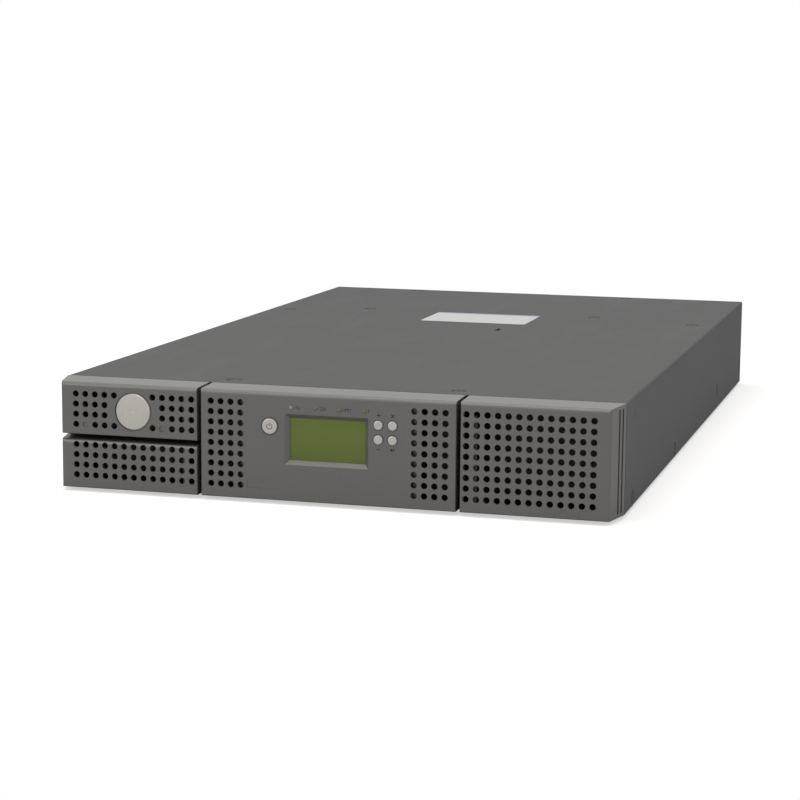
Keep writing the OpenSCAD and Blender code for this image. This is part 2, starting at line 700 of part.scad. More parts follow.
// Tray of the input and output station, open towards the aisle and the top
module station_tray() placed() color(PLASTIC) mirror([1, 0, 0]) {
    z0 = station_row + run_gap;
    x1 = magazine_out - wall_t - run_gap;
    rear = divider_y(1) - run_gap;
    slab([aisle_half, column_y - 1.3, z0], [x1, rear, z0 + tray_t]);
    slab([aisle_half, rear - 1, z0 + tray_t], [x1, rear, z0 + 12]);
    slab([aisle_half, column_y - 1.3, z0 + tray_t], [x1, column_y - 0.3, z0 + cart_h]);
    slab([x1 - 1, column_y - 0.3, z0 + tray_t], [x1, rear - 1, z0 + 12]);
    // Arms to the bezel
    for (x = [side_face + bezel_t + 8, x1 - 4])
        slab([x, bezel_t, z0 + tray_t], [x + 2, column_y - 1.3, z0 + cart_h]);
}

// ---- Accessor --------------------------------------------------------------

module at_home() { translate([0, front_y + home_y, foot_h]) children(); }

rail_y = [frame_y + sheet_t + 0.5, drive_y - 8];
// Plain rail on the left: a ledge under the carriage and a lip beside it
module rail_section() {
    e = carriage_w / 2;
    polygon([
        [e - 5, floor_z], [e + 1.5, floor_z], [e + 1.5, floor_z + 2.8], [e + run_gap, floor_z + 2.8],
        [e + run_gap, carriage_z - run_gap], [e - 5, carriage_z - run_gap]
    ]);
}
module along(y) { translate([0, y[1], 0]) rotate([90, 0, 0]) linear_extrude(y[1] - y[0]) children(); }
module aisle_rail() placed() color(PLASTIC) mirror([1, 0, 0]) along(rail_y) rail_section();

// Rack teeth in side view: straight flanks at 20 degrees, thinned by the side play
rack_pitch = PI * gear_m;
rack_step = [ceil((rail_y[0] - pinion_y) / rack_pitch), floor((rail_y[1] - pinion_y) / rack_pitch) - 1];
module rack_teeth() {
    half_t = rack_pitch / 4 - backlash / 2;
    rise = gear_m;
    root = 1.25 * gear_m;
    for (k = [rack_step[0] : rack_step[1]])
        translate([pinion_y + (k + 0.5) * rack_pitch, rack_z])
            polygon([
                [-half_t - root * tan(20), -root - eps], [half_t + root * tan(20), -root - eps],
                [half_t - rise * tan(20), rise], [-half_t + rise * tan(20), rise]
            ]);
}
module rack_rail() placed() color(PLASTIC) {
    along(rail_y) rail_section();
    across(carriage_w / 2 + 1.5 - eps, rack_x + rack_w) {
        translate([rail_y[0], floor_z]) square([rail_y[1] - rail_y[0], rack_z - 1.25 * gear_m - floor_z]);
        rack_teeth();
    }
}

// Involute gear outline with its first tooth along +X
function involute(base, t) = [
    base * (cos(t) + t * PI / 180 * sin(t)), base * (sin(t) - t * PI / 180 * cos(t))
];
function turned(p, a) = [p.x * cos(a) - p.y * sin(a), p.x * sin(a) + p.y * cos(a)];
function flank_points(base, tip_r, half_angle) = [
    for (i = [0 : 4]) let (t = i / 4 * acos(base / tip_r), roll = tan(t) * 180 / PI)
        turned(involute(base, roll), -half_angle)
];
module gear(teeth, play) {
    r = gear_m * teeth / 2;
    base = r * cos(20);
    tip_r = r + gear_m;
    root_r = r - 1.25 * gear_m;
    half_angle = 90 / teeth - play / 2 / r * 180 / PI + (tan(20) * 180 / PI - 20);
    circle(r = root_r + eps);
    for (k = [0 : teeth - 1]) rotate(k * 360 / teeth) {
        low = flank_points(base, tip_r, half_angle);
        polygon(concat(
            [turned([root_r - 0.4, 0], -half_angle)], low,
            [for (i = [len(low) - 1 : -1 : 0]) [low[i].x, -low[i].y]],
            [turned([root_r - 0.4, 0], half_angle)]
        ));
    }
}
// The pinion has a tooth straight down at rest
module travel_pinion() placed() color("#d9d6c8") translate([0, pinion_y, pinion_z]) {
    translate([rack_x, 0, 0]) rotate([0, 90, 0]) linear_extrude(rack_w - 0.3) gear(pinion_teeth, backlash / 2);
    translate([rack_x - 3.6, 0, 0]) rotate([0, 90, 0]) cylinder(r = 1.5, h = 3.7);
}

module carriage_plate() at_home() color(ZINC) difference() {
    union() {
        slab([-carriage_w / 2, -66, carriage_z], [carriage_w / 2, 71, carriage_z + carriage_t]);
        slab([78, 58, carriage_z + carriage_t], [98, 70, pinion_z - 2]);
    }
    translate([0, 0, carriage_z - 1]) cylinder(r = 40, h = 4);
    translate([70, 64, pinion_z]) rotate([0, 90, 0]) cylinder(r = motor_r + 0.05, h = 40);
}
module guide_posts() at_home() color(SILVER) for (s = [-1, 1])
    translate([s * post_x, -post_y, carriage_z + carriage_t]) {
        cylinder(r = post_r, h = post_top - carriage_z - carriage_t);
        cylinder(r = post_r + 1.5, h = 0.3);
    }
lift_x = -94;
lift_y = 60;
lift_motor_top = carriage_z + carriage_t + 17.8;
module carriage_motors() at_home() color("#8d8f92") {
    // Travel motor, lying across the carriage in its saddle, clear of the picker's swing
    translate([76, 64, pinion_z]) rotate([0, 90, 0]) {
        cylinder(r = motor_r, h = 22);
        cylinder(r = 2, h = 23.5);
    }
    // Lift motor, upright under its screw
    translate([lift_x, lift_y, carriage_z + carriage_t]) cylinder(r = motor_r, h = 17.8);
}
nut_z = platform_z + 22.4;
module lift_screw() at_home() color(SILVER) translate([lift_x, lift_y, lift_motor_top + run_gap]) {
    cylinder(r = 4.5, h = 2);
    cylinder(r = 3, h = post_top - lift_motor_top - run_gap);
}
module lift_platform() at_home() color(ZINC) {
    difference() {
        translate([0, 0, platform_z]) linear_extrude(platform_t)
            polygon([[-100, -66], [100, -66], [100, -50], [88, -40], [88, 40], [88, 50], [72, 56],
                [72, 66], [-85, 66], [-85, 50], [-88, 40], [-88, -40], [-100, -50]]);
        for (s = [-1, 1]) translate([s * post_x, -post_y, platform_z - 1]) cylinder(r = post_r + run_gap, h = 4);
        translate([0, 0, platform_z - 1]) cylinder(r = 30, h = 4);
    }
    // Guide bosses round the posts
    for (s = [-1, 1]) translate([s * post_x, -post_y, platform_z + platform_t]) difference() {
        cylinder(r = post_r + 2.5, h = 14);
        translate([0, 0, -1]) cylinder(r = post_r + run_gap, h = 16);
    }
    // Riser and the nut's ear above the lift motor
    slab([-86.4, 54, platform_z], [-85, 66, nut_z + 2]);
    difference() {
        slab([-100, 54, nut_z], [-86.4, 66, nut_z + 2]);
        translate([lift_x, lift_y, nut_z - 1]) cylinder(r = 3 + run_gap, h = 4);
    }
}
module turn_motor() at_home() color("#8d8f92") translate([0, 0, platform_z]) difference() {
    cylinder(r = 30, h = platform_t - 0.1);
    translate([0, 0, -1]) cylinder(r = 8, h = 4);
}
// The picker's pieces are drawn with the mouth towards +Y and face the left bay at rest
module facing_left() { at_home() rotate(90) children(); }
module turntable() facing_left() color(PLASTIC) {
    translate([0, 0, turn_z]) linear_extrude(turn_t) difference() {
        union() {
            circle(r = turn_r);
            translate([-picker_half - picker_wall, -tail_y]) square([2 * (picker_half + picker_wall), tail_y + mouth_y]);
        }
        circle(r = 5);
    }
    translate([0, 0, platform_z]) difference() {
        cylinder(r = 7.7, h = turn_z - platform_z);
        translate([0, 0, -1]) cylinder(r = 5, h = 5);
    }
}
picker_z = turn_z + turn_t;
module picker_frame() facing_left() color("#9a9c9f") {
    for (s = [0, 1]) mirror([s, 0, 0]) difference() {
        slab([picker_half, -tail_y, picker_z], [picker_half + picker_wall, mouth_y, picker_top]);
        for (y = [-30, 25]) translate([picker_half - 1, y, picker_z + 11]) rotate([0, 90, 0]) cylinder(r = 7, h = 4);
    }
    slab([-picker_half, -tail_y, picker_z], [picker_half, -tail_y + 1.2, picker_top]);
    difference() {
        slab([-picker_half - picker_wall, -tail_y, picker_top], [picker_half + picker_wall, mouth_y, picker_top + 1.2]);
        slab([-4, -tail_y + 2, picker_top - 1], [4, mouth_y + 1, picker_top + 3]);
    }
}
module gripper() facing_left() color("#d9d6c8") {
    slab([-24, -72, cart_z + 3], [24, -60, picker_top - 2]);
    slab([-3.7, -70, picker_top - 2], [3.7, -62, picker_top + 1.5]);
    slab([-9, -71, picker_top + 1.5], [9, -61, picker_top + 2.4]);
    // Finger with its hook
    slab([-6, -60, cart_z + 7], [6, -29, cart_z + 11]);
    slab([-6, -32, cart_z + 11], [6, -29, cart_z + 14]);
}
module reach_motor() facing_left() color("#8d8f92") translate([41, -66, picker_z]) {
    cylinder(r = 7.5, h = 18);
    cylinder(r = 2, h = 20);
}
module code_reader() facing_left() color(PLASTIC) difference() {
    slab([-picker_half - picker_wall - 12, 42, picker_z + 3], [-picker_half - picker_wall, 62, picker_z + 17]);
    slab([-picker_half - picker_wall - 10, 60, picker_z + 6], [-picker_half - picker_wall - 2, 63, picker_z + 14]);
}

// ---- Rear modules ----------------------------------------------------------

// A bow handle on a rear module, standing out along +Y by out
module bow_handle(x, z0, z1, out) {
    slab([x - 2.5, 0, z0], [x + 2.5, out - 4, z0 + 4]);
    slab([x - 2.5, 0, z1 - 4], [x + 2.5, out - 4, z1]);
    translate([x - 2.5, out - 4, z0 + 4]) rotate([90, 0, 90]) linear_extrude(5) union() {
        square([4, z1 - z0 - 8]);
        circle(r = 4);
        translate([0, z1 - z0 - 8]) circle(r = 4);
    }
}
plate_y = case_d + run_gap;
sled_half = bay_half - 0.6;
sled_plate_half = bay_half + 4;
module fan_cut(x, z, r) {
    rod_y(x, -2, z, r, 6);
}
// Finger guard in a plate that starts at y = 0, with the boss that carries the fan's hub
module fan_guard(x, z, r, boss) {
    rod_y(x, run_gap - boss, z, r * 0.3, boss);
    for (a = [0 : 60 : 120]) translate([x, 0, z]) rotate([0, a, 0]) slab([-r, 0, -0.8], [r, 1, 0.8]);
    for (k = [1 : 3]) difference() {
        rod_y(x, 0, z, k * r / 4 + 0.7, 1);
        rod_y(x, -1, z, k * r / 4 - 0.7, 3);
    }
}
fan_r = 16.5;
sled_fan = [-50, module_z + 0.8 + drive_h / 2];
module drive_sled() placed() color(ZINC) {
    slab([-sled_half, drive_y + 4, module_z], [sled_half, plate_y, module_z + 0.8]);
    both_sides() slab([sled_half - 1, drive_y + 4, module_z + 0.8], [sled_half, plate_y, sled_top - 2]);
    translate([0, plate_y, 0]) {
        difference() {
            slab([-sled_plate_half, 0, module_z], [sled_plate_half, 1, sled_top]);
            fan_cut(sled_fan.x, sled_fan.y, fan_r);
            slab([-20, -1, module_z + 8], [14, 3, module_z + 20]);
        }
        fan_guard(sled_fan.x, sled_fan.y, fan_r + 0.5, 3);
        translate([0, 1, 0]) bow_handle(30, module_z + 5, sled_top - 5, handle_out - run_gap - 1);
        // Interface connector
        difference() {
            slab([-20, -6, module_z + 8], [14, 2, module_z + 20]);
            slab([-17, 0, module_z + 11], [11, 3, module_z + 17]);
        }
    }
}
module tape_drive() placed() color("#3a3a3c") {
    z0 = module_z + 0.8;
    mouth = [cart_w / 2 + 1.5, 12.5];
    difference() {
        slab([-drive_w / 2, drive_y, z0], [drive_w / 2, drive_y + drive_l, z0 + drive_h]);
        slab([-mouth.x, drive_y - 1, z0 + drive_h / 2 - mouth.y], [mouth.x, drive_y + 90, z0 + drive_h / 2 + mouth.y]);
        // Screw holes down each side
        both_sides() for (y = [40, 120])
            translate([drive_w / 2 - 4, drive_y + y, z0 + 10]) rotate([0, 90, 0]) cylinder(r = 1.5, h = 6);
    }
    // Side brackets that hold the drive in its sled
    both_sides() slab([drive_w / 2, drive_y + 30, z0], [sled_half - 1, drive_y + 130, z0 + 16]);
}
// A fan rotor of seven blades that turns about Y, its hub at the origin
module fan_rotor(r, depth) {
    rotate([-90, 0, 0]) {
        cylinder(r = r * 0.42, h = depth);
        for (k = [0 : 6]) rotate(k * 360 / 7) rotate([0, 0, 0])
            translate([r * 0.35, 0, depth / 2]) rotate([38, 0, 0])
                translate([0, -r * 0.16, -0.5]) cube([r * 0.6, r * 0.32, 1]);
    }
}
module drive_fan() placed() color("#1f1f21") translate([sled_fan.x, plate_y - 12, sled_fan.y])
    fan_rotor(fan_r - 1, 9);
// Knurled captive screws beside the sled's plate
module sled_thumbscrews() placed() color(SILVER) for (x = [-sled_half + 8, sled_half - 8])
    translate([x, plate_y + 1, sled_top - 9]) rotate([-90, 0, 0]) {
        cylinder(r = 2, h = 2);
        translate([0, 0, 2]) difference() {
            cylinder(r = 4.5, h = 7);
            for (a = [0 : 20 : 340]) rotate(a) translate([4.5, 0, -1]) cylinder(r = 0.4, h = 9, $fn = 4);
        }
    }
module blank_panel() placed() color(STEEL) translate([0, case_d, 0]) difference() {
    slab([-sled_half, 0, sled_top + 0.6], [sled_half, 1, seat_z - 1]);
    for (i = [-8 : 8], j = [0 : 2]) rod_y(i * 8, -1, sled_top + 10 + 8 * j, 2.5, 3);
}

supply_fan_at = [supply_x - supply_w / 2 + 31, module_z + supply_h / 2];
supply_fan_r = 26;
module power_supply() placed() color(ZINC) {
    y0 = drive_y + 6;
    x0 = supply_x - supply_w / 2;
    x1 = supply_x + supply_w / 2;
    difference() {
        slab([x0, y0, module_z], [x1, plate_y, module_z + supply_h]);
        // Room for the fan behind the rear plate
        rod_y(supply_fan_at.x, plate_y - 22, supply_fan_at.y, supply_fan_r + 1, 23);
        // Room for the inlet
        slab([x1 - 24.2, plate_y - 18, module_z + 8.8], [x1 - 3.8, plate_y + 3, module_z + 36.2]);
        // Side slots for air
        for (i = [0 : 9]) slab([x0 - 1, y0 + 20 + 9 * i, module_z + 12], [x0 + 2, y0 + 24 + 9 * i, module_z + 60]);
    }
    translate([0, plate_y, 0]) {
        fan_guard(supply_fan_at.x, supply_fan_at.y, supply_fan_r + 1.5, 4);
        bow_handle(x1 - 14, module_z + 42, module_z + supply_h - 3, handle_out - run_gap - 1);
    }
}
module supply_fan() placed() color("#1f1f21") translate([supply_fan_at.x, plate_y - 18, supply_fan_at.y])
    fan_rotor(supply_fan_r - 1, 14);
// Mains inlet with its three flat pins
module power_inlet() placed() color(PLASTIC) {
    x1 = supply_x + supply_w / 2 - 4;
    x0 = x1 - 20;
    difference() {
        slab([x0, plate_y - 17.8, module_z + 9], [x1, plate_y + 1.5, module_z + 36]);
        slab([x0 + 2, plate_y - 14, module_z + 11], [x1 - 2, plate_y + 3, module_z + 34]);
    }
    for (p = [[-5, 0], [3, -6], [3, 6]])
        slab([x0 + 9 + p.x, plate_y - 14.5, module_z + 21.5 + p.y], [x0 + 11 + p.x, plate_y - 2, module_z + 25.5 + p.y - 1]);
}
// Ports of the controller card, as [x offset, width, height, depth]
function port_list() = [[-38, 16, 13.4, 16], [-16, 13, 6.6, 14], [10, 31, 12.5, 12]];
card_z = module_z + 6;
module controller_card() placed() color(BOARD) {
    x0 = card_x - card_w / 2;
    x1 = card_x + card_w / 2;
    slab([x0 + 2, drive_y + 52, card_z], [x1 - 2, plate_y, card_z + 1.6]);
    difference() {
        slab([x0, plate_y, module_z], [x1, plate_y + 1, module_z + 33]);
        for (p = port_list())
            slab([card_x + p[0] - 0.2, plate_y - 1, card_z + 1.4], [card_x + p[0] + p[1] + 0.2, plate_y + 2, card_z + 1.8 + p[2]]);
    }
    // Processor, memory and edge connector
    slab([card_x - 20, drive_y + 110, card_z + 1.6], [card_x + 8, drive_y + 138, card_z + 4.6]);
    slab([card_x + 16, drive_y + 100, card_z + 1.6], [card_x + 24, drive_y + 150, card_z + 3.4]);
    slab([card_x - 30, drive_y + 53, card_z + 1.6], [card_x + 30, drive_y + 61, card_z + 10]);
}
module card_ports() placed() color(SILVER) for (p = port_list()) difference() {
    slab([card_x + p[0], plate_y + 1.8 - p[3], card_z + 1.6], [card_x + p[0] + p[1], plate_y + 1.8, card_z + 1.6 + p[2]]);
    slab([card_x + p[0] + 1.2, plate_y - 6, card_z + 2.8], [card_x + p[0] + p[1] - 1.2, plate_y + 3, card_z + 0.4 + p[2]]);
}
module interconnect_boards() placed() color(BOARD) {
    slab([supply_x - supply_w / 2, drive_y - 3, floor_z], [supply_x + supply_w / 2, drive_y - 1.4, 76]);
    slab([supply_x - 25, drive_y - 1.4, 20], [supply_x + 25, drive_y + 5.7, 32]);
    slab([card_x - card_w / 2, drive_y + 44, floor_z], [card_x + card_w / 2, drive_y + 45.6, 50]);
    slab([card_x - 30, drive_y + 45.6, card_z - 4], [card_x + 30, drive_y + 51.7, card_z + 8]);
}

base_pan();
top_cover();
front_frame();
rear_cage();
rear_panel();
bay_rails();
cover_screws();
foot_pads();
shipping_lock();
centre_bezel();
display_window();
display_panel();
display_carrier();
control_board();
indicator_lights();
power_button();
key_plus();
key_cancel();
key_minus();
key_enter();
station_bezel();
badge_disc();
station_tray();
left_magazine_bezel();
left_magazine_bracket();
left_magazine_side();
left_magazine_shelves();
left_magazine_dividers();
left_magazine_springs();
right_magazine_bezel();
right_magazine_bracket();
right_magazine_side();
right_magazine_shelves();
right_magazine_dividers();
right_magazine_springs();
aisle_rail();
rack_rail();
carriage_plate();
guide_posts();
carriage_motors();
travel_pinion();
lift_screw();
lift_platform();
turn_motor();
turntable();
picker_frame();
gripper();
reach_motor();
code_reader();
drive_sled();
tape_drive();
drive_fan();
sled_thumbscrews();
blank_panel();
power_supply();
supply_fan();
power_inlet();
controller_card();
card_ports();
interconnect_boards();
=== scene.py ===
"""Looks of a two-unit rack tape library: finishes for every part, printed marks, lens caps and a label."""
import json
import math

import bpy
import numpy as np
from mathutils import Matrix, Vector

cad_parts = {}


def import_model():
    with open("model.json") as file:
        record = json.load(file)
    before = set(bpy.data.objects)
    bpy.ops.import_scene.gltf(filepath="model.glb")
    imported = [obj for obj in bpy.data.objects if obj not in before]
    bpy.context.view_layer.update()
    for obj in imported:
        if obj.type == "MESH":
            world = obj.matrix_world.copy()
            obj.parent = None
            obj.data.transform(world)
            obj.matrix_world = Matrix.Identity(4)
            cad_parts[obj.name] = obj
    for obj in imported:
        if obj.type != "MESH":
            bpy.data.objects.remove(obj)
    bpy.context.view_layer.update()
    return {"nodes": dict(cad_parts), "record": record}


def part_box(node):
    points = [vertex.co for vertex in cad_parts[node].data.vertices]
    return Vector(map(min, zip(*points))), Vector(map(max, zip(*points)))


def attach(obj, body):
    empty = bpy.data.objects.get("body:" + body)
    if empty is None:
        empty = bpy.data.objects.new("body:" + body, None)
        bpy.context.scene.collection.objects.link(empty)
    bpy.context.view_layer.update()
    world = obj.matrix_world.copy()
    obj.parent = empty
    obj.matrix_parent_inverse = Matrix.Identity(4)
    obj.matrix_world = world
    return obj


MM = 0.001
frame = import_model()
nodes = frame["nodes"]
scene = bpy.context.scene


def span(node):
    """Lowest and highest corner of a CAD part, as arrays in metres."""
    low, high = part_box(node)
    return np.array(low), np.array(high)


def middle(node):
    """Centre of a CAD part's box."""
    low, high = span(node)
    return (low + high) / 2


bezel_low = span("centre_bezel")[0]
face_y = bezel_low[1]
cover_top = span("rear_panel")[1][2] + 1.0 * MM


# ---- Surfaces from numbers ------------------------------------------------


def new_mesh(name, points, quads, smooth=True):
    """A mesh object from an array of points and an array of four-cornered faces."""
    mesh = bpy.data.meshes.new(name)
    mesh.from_pydata(points.reshape(-1, 3), [], quads.reshape(-1, 4))
    mesh.update()
    mesh.polygons.foreach_set("use_smooth", np.full(len(mesh.polygons), smooth))
    piece = bpy.data.objects.new(name, mesh)
    scene.collection.objects.link(piece)
    return piece


def grid_quads(rows, columns, wrap_rows=False, wrap_columns=False):
    """Corner numbers of the faces of a grid: (i, j), (i, j+1), (i+1, j+1), (i+1, j)."""
    i = np.arange(rows if wrap_rows else rows - 1)[:, None]
    j = np.arange(columns if wrap_columns else columns - 1)[None, :]
    i2 = (i + 1) % rows
    j2 = (j + 1) % columns
    return np.stack([i * columns + j, i * columns + j2, i2 * columns + j2, i2 * columns + j], -1)


def tidy(piece):
    """Merges coincident points, closes the normals outwards and drops empty faces."""
    import bmesh

    work = bmesh.new()
    work.from_mesh(piece.data)
    bmesh.ops.remove_doubles(work, verts=work.verts, dist=1e-7)
    bmesh.ops.dissolve_degenerate(work, edges=work.edges, dist=1e-8)
    bmesh.ops.recalc_face_normals(work, faces=work.faces)
    work.to_mesh(piece.data)
    work.free()
    return piece


def sharpen(piece, angle=35):
    """Keeps edges steeper than the angle sharp under smooth shading."""
    piece.data.set_sharp_from_angle(angle=math.radians(angle))
    return piece


def lathe(name, radius, along, centre, axis="y", steps=40):
    """A turned piece: point (i, j) is (radius[i] cos t, radius[i] sin t, along[i]), t = 2 pi j / steps."""
    t = np.linspace(0, 2 * np.pi, steps, endpoint=False)
    r = np.asarray(radius)[:, None]
    a = r * np.cos(t)
    b = r * np.sin(t)
    c = np.asarray(along)[:, None] + 0 * t
    order = {"x": (c, a, b), "y": (a, c, b), "z": (a, b, c)}[axis]
    points = np.stack(order, -1) + np.asarray(centre)
    return tidy(new_mesh(name, points, grid_quads(len(radius), steps, wrap_columns=True)))


def bar(path, width, height):
    """Points and faces of a bar with a rectangular section along a flat path in X and Z.

    The section's corners are path +- normal * width / 2 and y = 0 or -height, where the normal is
    the direction of the path turned by 90 degrees and averaged at each corner.
    """
    path = np.asarray(path, float)
    step = np.gradient(path, axis=0)
    step /= np.linalg.norm(step, axis=1, keepdims=True)
    normal = np.stack([-step[:, 1], step[:, 0]], 1) * width / 2
    left, right = path + normal, path - normal
    flat = np.stack([left, right, right, left], 1)
    y = np.array([0, 0, -height, -height])[None, :] + 0 * flat[..., 0]
    points = np.stack([flat[..., 0], y, flat[..., 1]], -1)
    last = len(path) - 1
    quads = grid_quads(len(path), 4, wrap_columns=True).reshape(-1, 4)
    caps = np.array([[3, 2, 1, 0], [4 * last, 4 * last + 1, 4 * last + 2, 4 * last + 3]])
    return points.reshape(-1, 3), np.concatenate([quads, caps])


def marks(name, strokes, centre, height, body, finish):
    """Printed or moulded strokes on a face that looks along -Y, joined into one piece."""
    points, quads, count = [], [], 0
    for path, width in strokes:
        p, q = bar(path, width, height)
        points.append(p)
        quads.append(q + count)
        count += len(p)
    piece = new_mesh(name, np.concatenate(points) + np.asarray(centre), np.concatenate(quads), smooth=False)
    tidy(piece)
    return dress(piece, finish, body)


def arc(x, z, radius, start, end, steps=24):
    """Points on a circle: (x + radius cos t, z + radius sin t) for t from start to end, in degrees."""
    t = np.radians(np.linspace(start, end, steps))
    return np.stack([x + radius * np.cos(t), z + radius * np.sin(t)], 1)


def dress(piece, finish, body):
    """Gives a piece its finish and the body that it moves with."""
    piece.data.materials.clear()
    piece.data.materials.append(finish)
    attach(piece, body)
    return piece


# ---- Finishes ----------------------------------------------------------------


class Wire:
    """An output socket on which arithmetic adds Math nodes to its finish."""

    def __init__(self, finish, socket):
        self.finish = finish
        self.socket = socket

    def _math(self, operation, first, second=0.0):
        return self.finish.node("ShaderNodeMath", {"operation": operation}, {0: first, 1: second})

    def __add__(self, other):
        return self._math("ADD", self, other)

    __radd__ = __add__

    def __sub__(self, other):
        return self._math("SUBTRACT", self, other)

    def __mul__(self, other):
        return self._math("MULTIPLY", self, other)

    __rmul__ = __mul__

    def __gt__(self, other):
        return self._math("GREATER_THAN", self, other)


class Finish:
    """A new material, and one method that adds any node to it."""

    def __init__(self, name):
        self.material = bpy.data.materials.new(name)
        self.material.use_nodes = True
        self.tree = self.material.node_tree
        self.tree.nodes.clear()
        self.place = self.node("ShaderNodeTexCoord", output="Object")

    def node(self, kind, settings=None, values=None, output=0):
        """Adds a node: settings first, such as an operation or a ramp's stops, then values or links."""
        node = self.tree.nodes.new(kind)
        for key, value in (settings or {}).items():
            if key == "stops":
                ramp = node.color_ramp
                while len(ramp.elements) > len(value):
                    ramp.elements.remove(ramp.elements[-1])
                while len(ramp.elements) < len(value):
                    ramp.elements.new(0.5)
                for element, (at, colour) in zip(ramp.elements, value):
                    element.position = at
                    element.color = colour
            else:
                setattr(node, key, value)
        for key, value in (values or {}).items():
            if isinstance(value, Wire):
                self.tree.links.new(value.socket, node.inputs[key])
            else:
                node.inputs[key].default_value = value
        return Wire(self, node.outputs[output])

    def noise(self, scale, detail=2.0, stretch=(1, 1, 1), roughness=0.5):
        """Smooth noise from 0 to 1, its grains 1 / scale metres across, stretched along the axes."""
        place = self.node("ShaderNodeMapping", {}, {"Vector": self.place, "Scale": stretch})
        return self.node("ShaderNodeTexNoise", {}, {
            "Vector": place, "Scale": scale, "Detail": detail, "Roughness": roughness})

    def cells(self, scale, stretch=(1, 1, 1), feature="F1"):
        """Distance to the nearest of scattered points, for spangle and grain."""
        place = self.node("ShaderNodeMapping", {}, {"Vector": self.place, "Scale": stretch})
        return self.node("ShaderNodeTexVoronoi", {"feature": feature}, {"Vector": place, "Scale": scale})

    def axis(self, letter):
        """One object coordinate, in metres."""
        return self.node("ShaderNodeSeparateXYZ", {}, {0: self.place}, output=letter)

    def ramp(self, value, low, high):
        """0 below low, 1 above high, straight between."""
        return self.node("ShaderNodeMapRange", {}, {"Value": value, "From Min": low, "From Max": high})

    def mix(self, factor, first, second):
        """A colour between two colours."""
        return self.node("ShaderNodeMix", {"data_type": "RGBA"}, {
            "Factor": factor, 6: first, 7: second}, output=2)

    def bump(self, height, depth, strength=1.0):
        """A normal bent by a height from 0 to 1 that stands for a depth in metres."""
        return self.node("ShaderNodeBump", {}, {"Height": height, "Distance": depth, "Strength": strength})

    def shade(self, colour, roughness, metallic=0.0, normal=None, **fixed):
        """Ends the finish in a Principled shader. fixed holds plain numbers for its other sockets."""
        values = {"Base Color": colour, "Roughness": roughness, "Metallic": metallic}
        if normal is not None:
            values["Normal"] = normal
        values.update({key.replace("_", " "): value for key, value in fixed.items()})
        shader = self.node("ShaderNodeBsdfPrincipled", {}, values)
        self.node_out(shader)
        return self.material

    def node_out(self, shader):
        """Links a shader to the material's output."""
        out = self.tree.nodes.new("ShaderNodeOutputMaterial")
        self.tree.links.new(shader.socket, out.inputs["Surface"])


def rgb(r, g, b):
    """A colour with full alpha."""
    return (r, g, b, 1.0)


def bezel_paint(name="bezel_paint", light=rgb(0.18, 0.178, 0.171), dark=rgb(0.146, 0.145, 0.14)):
    """Metallic grey paint: tiny flakes over a satin coat, with a faint orange peel."""
    f = Finish(name)
    flakes = f.ramp(f.noise(2600, 1.0), 0.35, 0.7)
    cloud = f.noise(14, 3.0)
    peel = f.noise(700, 2.0)
    colour = f.mix(flakes * 0.65 + cloud * 0.35, dark, light)
    return f.shade(colour, 0.33 + 0.1 * peel, 0.55, f.bump(peel * 0.6 + flakes * 0.4, 0.00006, 0.35))


def case_paint(name="case_paint"):
    """Charcoal powder coat with a fine pebbled texture and faint handling marks."""
    f = Finish(name)
    pebble = f.cells(1300)
    fine = f.noise(2400, 2.0)
    cloud = f.noise(9, 4.0, (1, 0.5, 1))
    rub = f.ramp(f.noise(34, 5.0, (1, 0.2, 1)), 0.5, 0.75)
    colour = f.mix(cloud * 0.6 + fine * 0.4, rgb(0.098, 0.1, 0.1), rgb(0.138, 0.14, 0.139))
    grain = f.bump(pebble * 0.7 + fine * 0.3, 0.00012, 0.3)
    return f.shade(colour, 0.6 + 0.1 * fine - 0.06 * rub, 0.0, grain,
                   Specular_IOR_Level=0.12)


def inner_paint(name="inner_steel"):
    """Thin dark coat on sheet, with rubbed streaks."""
    f = Finish(name)
    streak = f.noise(60, 4.0, (1, 8, 8))
    fine = f.noise(1500, 2.0)
    colour = f.mix(streak, rgb(0.035, 0.036, 0.038), rgb(0.07, 0.07, 0.072))
    return f.shade(colour, 0.42 + 0.15 * fine, 0.3, f.bump(fine, 0.00008, 0.3))


def zinc(name="zinc_sheet", tint=rgb(0.52, 0.53, 0.55)):
    """Zinc-plated sheet: soft spangle and rolling lines."""
    f = Finish(name)
    spangle = f.cells(95)
    lines = f.noise(900, 2.0, (1, 0.03, 1))
    colour = f.mix(spangle * 0.5 + lines * 0.5, rgb(tint[0] * 0.78, tint[1] * 0.78, tint[2] * 0.78), tint)
    return f.shade(colour, 0.28 + 0.2 * lines, 0.9, f.bump(lines, 0.00003, 0.2))


def bright_steel(name="bright_steel"):
    """Turned bright steel with fine lines round its axis."""
    f = Finish(name)
    lines = f.noise(1800, 1.0, (0.2, 1, 1))
    colour = f.mix(lines, rgb(0.55, 0.55, 0.55), rgb(0.74, 0.74, 0.73))
    return f.shade(colour, 0.2 + 0.12 * lines, 1.0, f.bump(lines, 0.00002, 0.2))


def motor_steel(name="motor_shell"):
    """Satin drawn steel of the motor cans."""
    f = Finish(name)
    lines = f.noise(800, 2.0, (1, 1, 0.1))
    colour = f.mix(lines, rgb(0.35, 0.35, 0.36), rgb(0.5, 0.5, 0.52))
    return f.shade(colour, 0.3 + 0.1 * lines, 0.95, f.bump(lines, 0.00002, 0.2))


def moulded(name, dark, light, roughness=0.5, grain=1700):
    """Moulded plastic with a spark-eroded grain."""
    f = Finish(name)
    texture = f.noise(grain, 3.0)
    flow = f.noise(22, 3.0)
    colour = f.mix(flow * 0.5 + texture * 0.5, dark, light)
    return f.shade(colour, roughness - 0.06 + 0.12 * texture, 0.0, f.bump(texture, 0.00006, 0.4))


